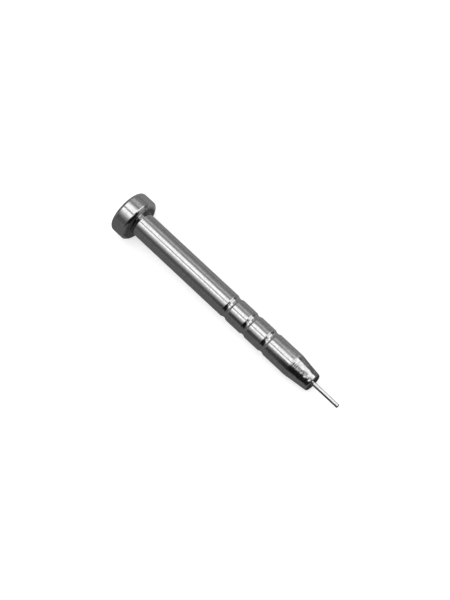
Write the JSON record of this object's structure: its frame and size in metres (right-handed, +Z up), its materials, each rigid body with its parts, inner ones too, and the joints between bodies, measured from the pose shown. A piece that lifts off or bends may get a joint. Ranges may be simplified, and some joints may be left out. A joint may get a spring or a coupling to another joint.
{
  "type": "watch link remover",
  "caption": "Steel pin punch for watch bracelets: mushroom head that unscrews, hollow handle with finger grooves, tapered nose and a thin replaceable pin.",
  "frame": {"origin": "centre of the flat struck face of the head", "axes": "+X along the tool's axis from the struck face to the tip of the pin, +Z up as the tool lies on a bench, +Y to the left as seen from behind the head"},
  "size_m": [0.0666, 0.0108, 0.0108],
  "materials": {
    "handle_steel": "turned and polished",
    "head_steel": "turned and satin",
    "pin_steel": "ground, hardened",
    "screw_steel": "blackened",
    "seal_rubber": "matt"
  },
  "bodies": {
    "handle": {"handle_barrel": "handle_steel"},
    "ring": {"head_seal_ring": "seal_rubber"},
    "head": {"striking_head": "head_steel"},
    "pin": {"punch_pin": "pin_steel"},
    "grub_screw": {"clamp_screw": "screw_steel"},
    "spare_1": {"spare_pin_1": "pin_steel"},
    "spare_2": {"spare_pin_2": "pin_steel"},
    "spare_3": {"spare_pin_3": "pin_steel"}
  },
  "joints": [
    {"name": "head_travel", "type": "slide", "parent": "handle", "child": "ring", "axis": [-1, 0, 0], "range_m": [0, 0.004]},
    {"name": "head_unscrew", "type": "hinge", "parent": "ring", "child": "head", "pos_m": [0.00495, 0, 0], "axis": [-1, 0, 0], "range_deg": [0, 2057.2]},
    {"name": "pin_travel", "type": "slide", "parent": "handle", "child": "pin", "axis": [-1, 0, 0], "range_m": [0, 0.003]},
    {"name": "clamp_unscrew", "type": "hinge", "parent": "pin", "child": "grub_screw", "pos_m": [0.04885, 0, 0], "axis": [-1, 0, 0], "range_deg": [0, 2160]},
    {"name": "spare_1_rattle", "type": "slide", "parent": "handle", "child": "spare_1", "axis": [-1, 0, 0], "range_m": [0, 0.0126]},
    {"name": "spare_2_rattle", "type": "slide", "parent": "handle", "child": "spare_2", "axis": [-1, 0, 0], "range_m": [0, 0.0126]},
    {"name": "spare_3_rattle", "type": "slide", "parent": "handle", "child": "spare_3", "axis": [-1, 0, 0], "range_m": [0, 0.0126]}
  ],
  "couplings": [
    {"joint": "head_unscrew", "follows": "head_travel", "rad_per_m": 8976},
    {"joint": "clamp_unscrew", "follows": "pin_travel", "rad_per_m": 12566}
  ]
}
